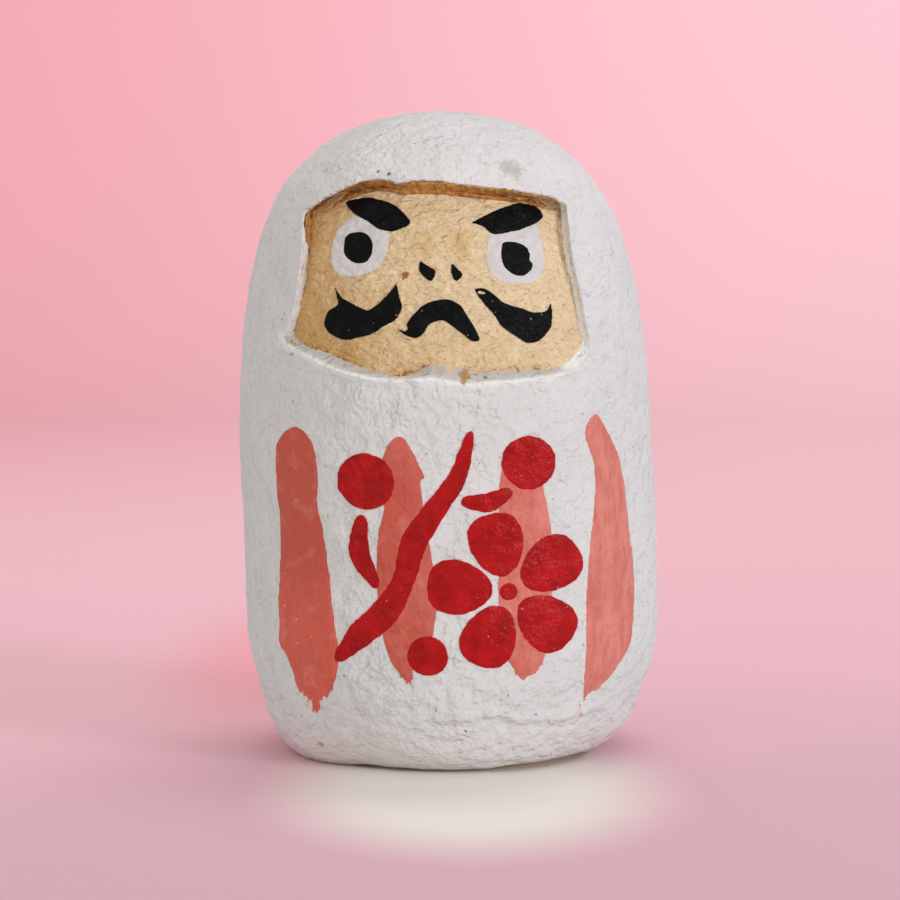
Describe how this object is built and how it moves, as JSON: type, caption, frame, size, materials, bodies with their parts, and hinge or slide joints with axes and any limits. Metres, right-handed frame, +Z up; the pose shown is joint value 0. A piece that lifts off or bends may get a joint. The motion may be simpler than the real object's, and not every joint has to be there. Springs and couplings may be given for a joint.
{
  "type": "daruma doll",
  "caption": "Tall paper-pulp daruma doll with a sunken painted face, brushed stripes and a plum-blossom spray, standing on a flat base.",
  "frame": {"origin": "middle of the flat base, at the underside of the base paper", "axes": "+Z up the doll, -Y out of its face, +X to the viewer's right when facing it"},
  "size_m": [0.064, 0.0645, 0.1],
  "materials": {
    "tan_pulp": "matte",
    "washi": "matte",
    "chalk_white": "matte",
    "kraft_paper": "matte",
    "brown_board": "matte",
    "grey_clay": "matte",
    "amber_glue": "gloss",
    "shell_white": "matte",
    "ink_black": "satin",
    "salmon_paint": "matte",
    "red_paint": "satin"
  },
  "bodies": {
    "root": {"front_shell": "tan_pulp", "back_shell": "tan_pulp", "seam_strip": "washi", "ground_coat": "chalk_white", "base_paper": "kraft_paper", "base_disc": "brown_board", "clay_weight": "grey_clay", "weight_glue": "amber_glue", "left_eye_white": "shell_white", "right_eye_white": "shell_white", "left_eyebrow": "ink_black", "right_eyebrow": "ink_black", "left_pupil": "ink_black", "right_pupil": "ink_black", "left_nostril": "ink_black", "right_nostril": "ink_black", "left_whisker": "ink_black", "right_whisker": "ink_black", "mouth": "ink_black", "stripe_far_left": "salmon_paint", "stripe_left": "salmon_paint", "stripe_right": "salmon_paint", "stripe_far_right": "salmon_paint", "plum_branch": "red_paint", "left_twig": "red_paint", "right_twig": "red_paint", "left_bud": "red_paint", "right_bud": "red_paint", "lower_bud": "red_paint", "petal_1": "red_paint", "petal_2": "red_paint", "petal_3": "red_paint", "petal_4": "red_paint", "petal_5": "red_paint", "stamen_dot": "red_paint"}
  },
  "joints": []
}
